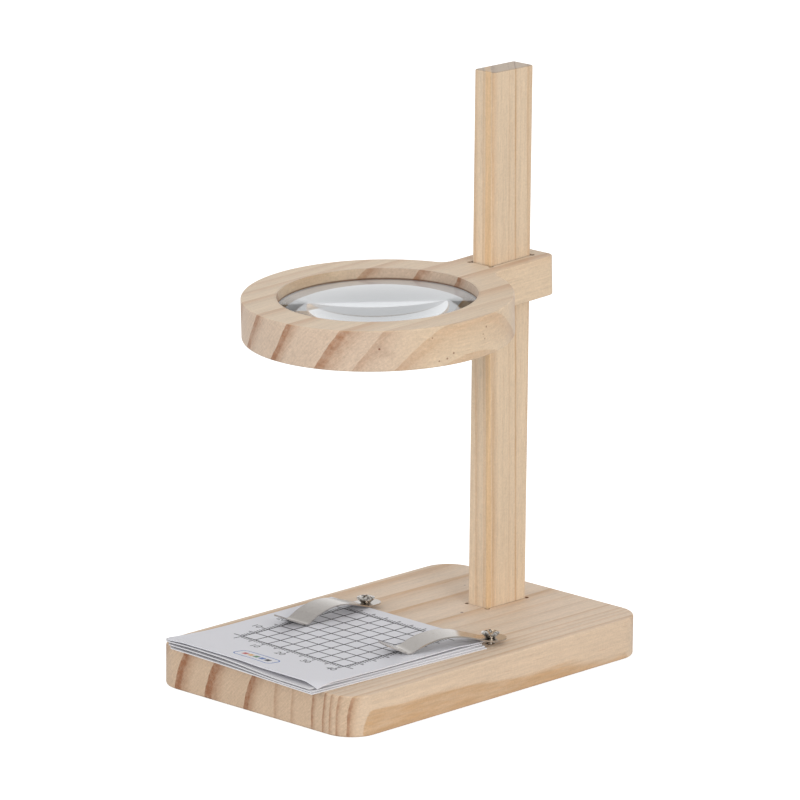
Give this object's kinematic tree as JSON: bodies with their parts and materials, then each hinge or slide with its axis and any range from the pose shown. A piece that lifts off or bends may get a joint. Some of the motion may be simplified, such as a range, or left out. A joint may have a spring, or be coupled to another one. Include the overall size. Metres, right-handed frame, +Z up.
{
  "type": "stand magnifier",
  "caption": "Wooden stand magnifier: a ring holder with a double convex lens slides on a post above a stage where two sprung clips hold cards.",
  "frame": {"origin": "centre of the base board's underside", "axes": "+Z up along the post, +Y from the stage towards the post, +X to the right seen from the front"},
  "size_m": [0.0774, 0.124, 0.167],
  "materials": {
    "base_wood": "sanded bare pine",
    "post_wood": "sanded bare pine",
    "holder_wood": "sanded bare pine",
    "lens_glass": "polished optical",
    "spring_wire": "drawn spring wire",
    "clip_steel": "satin spring strip",
    "screw_steel": "nickel plated",
    "plain_card": "smooth white card",
    "printed_card": "smooth white card with a printed grid"
  },
  "bodies": {
    "stand": {"base_plate": "base_wood", "post": "post_wood", "post_screw": "screw_steel", "clip_screw_left": "screw_steel", "clip_screw_right": "screw_steel"},
    "holder": {"lens_holder": "holder_wood", "lens": "lens_glass", "lens_retaining_ring": "spring_wire"},
    "clip_left": {"clip_left": "clip_steel"},
    "clip_right": {"clip_right": "clip_steel"},
    "scale_card": {"scale_card": "printed_card"},
    "plain_cards": {"plain_card_1": "plain_card", "plain_card_2": "plain_card", "plain_card_3": "plain_card"}
  },
  "joints": [
    {"name": "holder_slide", "type": "slide", "parent": "stand", "child": "holder", "axis": [0, 0, 1], "range_m": [-0.076, 0.05]},
    {"name": "clip_left_swivel", "type": "hinge", "parent": "stand", "child": "clip_left", "pos_m": [-0.0204, 0.0065, 0.0132], "axis": [0, 0, 1], "range_deg": [-80, 30]},
    {"name": "clip_right_swivel", "type": "hinge", "parent": "stand", "child": "clip_right", "pos_m": [0.028, 0.0065, 0.0132], "axis": [0, 0, 1], "range_deg": [-15, 99]},
    {"name": "scale_card_slide", "type": "slide", "parent": "stand", "child": "scale_card", "axis": [1, 0, 0], "range_m": [0, 0.03]},
    {"name": "plain_cards_slide", "type": "slide", "parent": "stand", "child": "plain_cards", "axis": [0, -1, 0], "range_m": [0, 0.045]}
  ]
}
